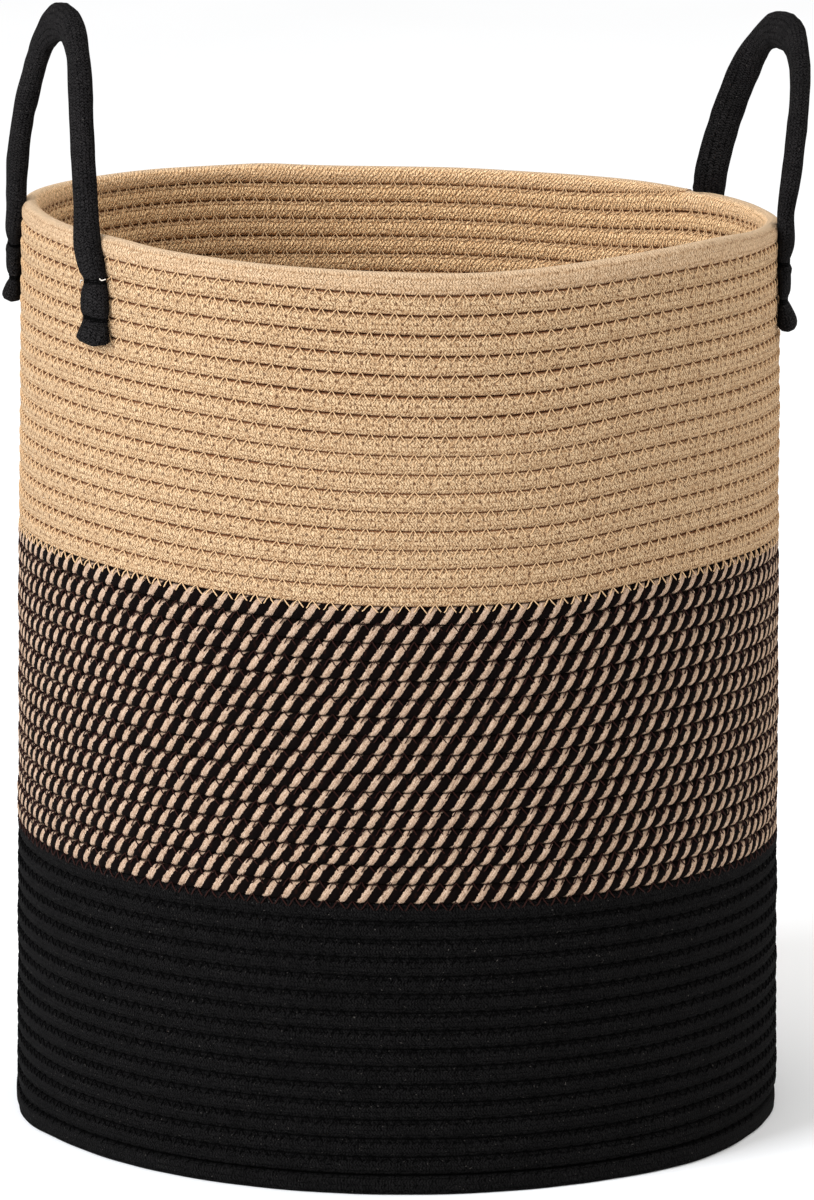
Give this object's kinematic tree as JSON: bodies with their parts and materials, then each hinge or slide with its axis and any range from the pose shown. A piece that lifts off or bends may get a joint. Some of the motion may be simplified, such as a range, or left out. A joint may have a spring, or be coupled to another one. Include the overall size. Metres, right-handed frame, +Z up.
{
  "type": "rope laundry basket",
  "caption": "Open-top round laundry basket of coiled and sewn rope in natural, two-tone and black bands, with two upright rope handles on the outside of the rim.",
  "frame": {"origin": "centre of the basket's underside", "axes": "+Z up, the two handles on -X and +X"},
  "size_m": [0.3972, 0.3858, 0.5589],
  "materials": {
    "black_rope": "knitted cotton cover, matt",
    "two_tone_rope": "natural and black strands twisted together, matt",
    "natural_rope": "knitted cotton cover, matt, slightly fuzzy",
    "rim_rope": "knitted cotton cover, matt",
    "handle_rope": "fine knitted cover, matt",
    "black_thread": "sewing thread",
    "brown_thread": "sewing thread",
    "tan_thread": "sewing thread"
  },
  "bodies": {
    "basket": {"base_coil": "black_rope", "base_stitching": "black_thread", "lower_wall_coil": "black_rope", "lower_wall_stitching": "black_thread", "middle_wall_coil": "two_tone_rope", "middle_wall_stitching": "brown_thread", "upper_wall_coil": "natural_rope", "upper_wall_stitching": "tan_thread", "rim_coil": "rim_rope", "rim_stitching": "tan_thread", "left_handle_front_leg": "handle_rope", "left_handle_rear_leg": "handle_rope", "left_handle_front_bindings": "black_thread", "left_handle_rear_bindings": "black_thread", "right_handle_front_leg": "handle_rope", "right_handle_rear_leg": "handle_rope", "right_handle_front_bindings": "black_thread", "right_handle_rear_bindings": "black_thread"},
    "left_handle": {"left_handle_loop": "handle_rope"},
    "right_handle": {"right_handle_loop": "handle_rope"}
  },
  "joints": [
    {"name": "left_handle_swing", "type": "hinge", "parent": "basket", "child": "left_handle", "pos_m": [-0.18088, -0.01582, 0.4608], "axis": [0.0872, -0.9962, 0], "range_deg": [-85, 145]},
    {"name": "right_handle_swing", "type": "hinge", "parent": "basket", "child": "right_handle", "pos_m": [0.18157, 0, 0.4608], "axis": [0, 1, 0], "range_deg": [-102.5, 127.5]}
  ]
}
